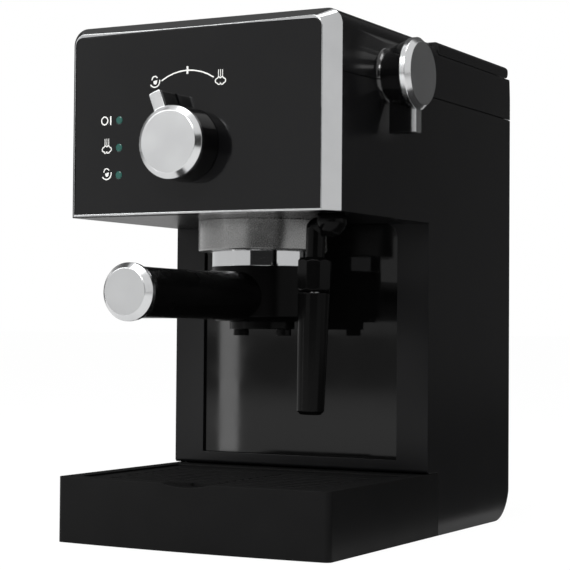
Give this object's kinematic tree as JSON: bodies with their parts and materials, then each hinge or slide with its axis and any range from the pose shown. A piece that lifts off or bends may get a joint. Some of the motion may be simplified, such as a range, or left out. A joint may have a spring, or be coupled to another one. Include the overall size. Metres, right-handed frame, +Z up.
{
  "type": "espresso machine",
  "caption": "Compact black home espresso machine with a bright-framed control panel, filter holder, steam wand and drip tray.",
  "frame": {"origin": "on the table top, on the casing's middle plane, halfway between the front of the drip tray and the back of the casing", "axes": "+Z up, -Y towards the user (the front), +X to the user's right when they face the machine"},
  "size_m": [0.2, 0.3291, 0.297],
  "materials": {
    "black_plastic": "satin",
    "gloss_black": "gloss",
    "chrome": "polished",
    "grey_metal": "satin",
    "steel": "brushed",
    "brass": "plain",
    "rubber": "matte",
    "clear_plastic": "gloss, see-through",
    "lamp": "gloss",
    "board": "matte",
    "coil": "plain"
  },
  "bodies": {
    "base": {"main_housing": "black_plastic", "top_cover": "black_plastic", "front_bezel": "chrome", "control_panel": "gloss_black", "head_underplate": "black_plastic", "back_panel": "gloss_black", "base_plate": "black_plastic", "feet": "rubber", "base_screws": "steel", "selector_switch": "black_plastic", "indicator_board": "board", "power_light": "lamp", "steam_light": "lamp", "coffee_light": "lamp", "steam_valve_body": "brass", "boiler_base": "grey_metal", "boiler_top": "grey_metal", "boiler_bolts": "steel", "heating_element": "steel", "thermostats": "grey_metal", "group_ring": "grey_metal", "group_gasket": "rubber", "shower_screen": "steel", "shower_screw": "steel", "wand_socket": "black_plastic", "tank_seat": "black_plastic", "tank_socket": "black_plastic", "pump_body": "steel", "pump_coil": "coil", "pump_mounts": "rubber", "suction_hose": "rubber", "pressure_pipe": "brass", "steam_pipe": "brass", "control_board": "board", "rocker_frame": "black_plastic", "cord_gland": "black_plastic"},
    "selector": {"selector_knob": "black_plastic", "selector_cap": "chrome", "selector_shaft": "steel"},
    "steam_control": {"steam_knob": "black_plastic", "steam_knob_cap": "chrome", "steam_valve_stem": "steel"},
    "filter_holder": {"portafilter_bowl": "chrome", "filter_basket": "steel", "portafilter_body": "black_plastic", "portafilter_handle": "black_plastic", "handle_stud": "steel", "handle_end_cap": "chrome", "twin_spout": "black_plastic"},
    "wand": {"wand_elbow": "black_plastic", "steam_tube": "steel", "wand_grip": "black_plastic"},
    "sleeve": {"froth_sleeve": "black_plastic"},
    "tray": {"drip_tray": "black_plastic"},
    "grate": {"drip_grate": "black_plastic"},
    "tank": {"water_tank": "clear_plastic", "tank_valve": "black_plastic", "lid_hinge_pins": "steel"},
    "lid": {"tank_lid": "black_plastic"},
    "rocker": {"power_rocker": "black_plastic"}
  },
  "joints": [
    {"name": "selector_turn", "type": "hinge", "parent": "base", "child": "selector", "pos_m": [-0.0025, -0.13, 0.225], "axis": [0, 1, 0], "range_deg": [0, 60]},
    {"name": "steam_knob_turn", "type": "hinge", "parent": "base", "child": "steam_control", "pos_m": [0.0963, -0.0665, 0.266], "axis": [1, 0, 0], "range_deg": [0, 180]},
    {"name": "portafilter_turn", "type": "hinge", "parent": "base", "child": "filter_holder", "pos_m": [0, -0.046, 0.173], "axis": [0, 0, -1], "range_deg": [-10, 50]},
    {"name": "wand_swing", "type": "hinge", "parent": "base", "child": "wand", "pos_m": [0.0704, -0.095, 0.183], "axis": [0, -1, 0], "range_deg": [-6, 35]},
    {"name": "sleeve_pull", "type": "slide", "parent": "wand", "child": "sleeve", "axis": [-0.0262, 0, -0.9997], "range_m": [0, 0.02]},
    {"name": "tray_slide", "type": "slide", "parent": "base", "child": "tray", "axis": [0, -1, 0], "range_m": [0, 0.15]},
    {"name": "grate_lift", "type": "slide", "parent": "tray", "child": "grate", "axis": [0, 0, 1], "range_m": [0, 0.015]},
    {"name": "tank_lift", "type": "slide", "parent": "base", "child": "tank", "axis": [0, 0, 1], "range_m": [0, 0.12]},
    {"name": "lid_open", "type": "hinge", "parent": "tank", "child": "lid", "pos_m": [0, 0.1235, 0.29318], "axis": [-1, 0, 0], "range_deg": [0, 95]},
    {"name": "power_rocker_tip", "type": "hinge", "parent": "base", "child": "rocker", "pos_m": [0.05, 0.124, 0.08], "axis": [1, 0, 0], "range_deg": [0, 16]}
  ]
}
